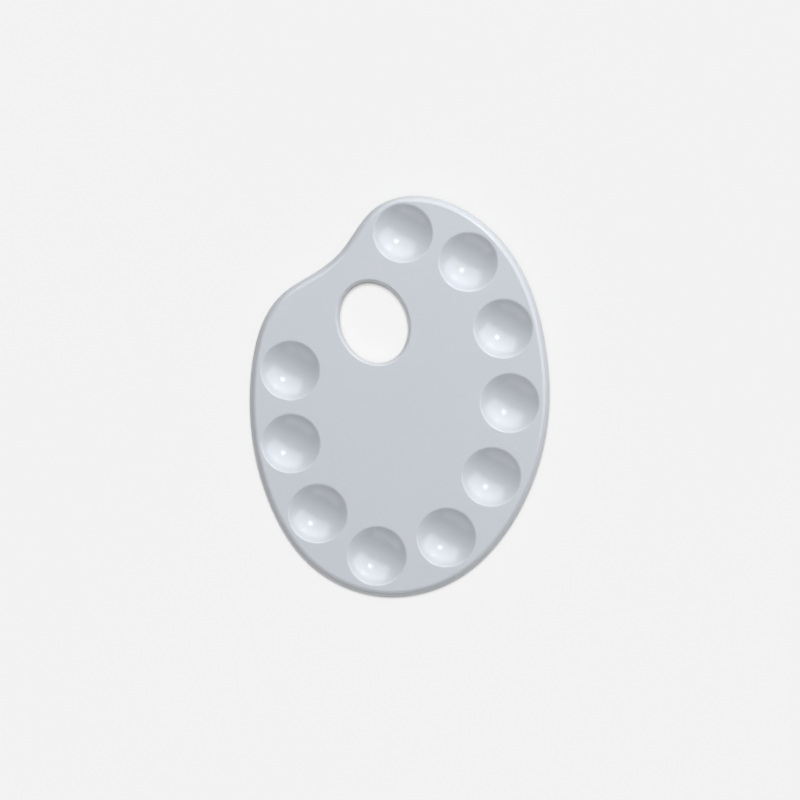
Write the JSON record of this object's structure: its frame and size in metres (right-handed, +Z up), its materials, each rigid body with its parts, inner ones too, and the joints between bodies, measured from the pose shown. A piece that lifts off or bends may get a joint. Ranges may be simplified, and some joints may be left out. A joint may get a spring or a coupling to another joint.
{
  "type": "mixing palette",
  "caption": "Rounded plastic paint palette with a ring of bowl-shaped wells, a flat mixing face, a thumb hole and a turned-down rim.",
  "frame": {"origin": "under the middle of the bounding box, on the surface that the palette stands on", "axes": "+Y along the palette's long way, towards the end with the thumb hole; +X to the right when the mixing face is looked down on; +Z up, out of the mixing face"},
  "size_m": [0.1716, 0.2306, 0.0091],
  "materials": {
    "white_plastic": "gloss"
  },
  "bodies": {
    "root": {"palette_tray": "white_plastic"}
  },
  "joints": []
}
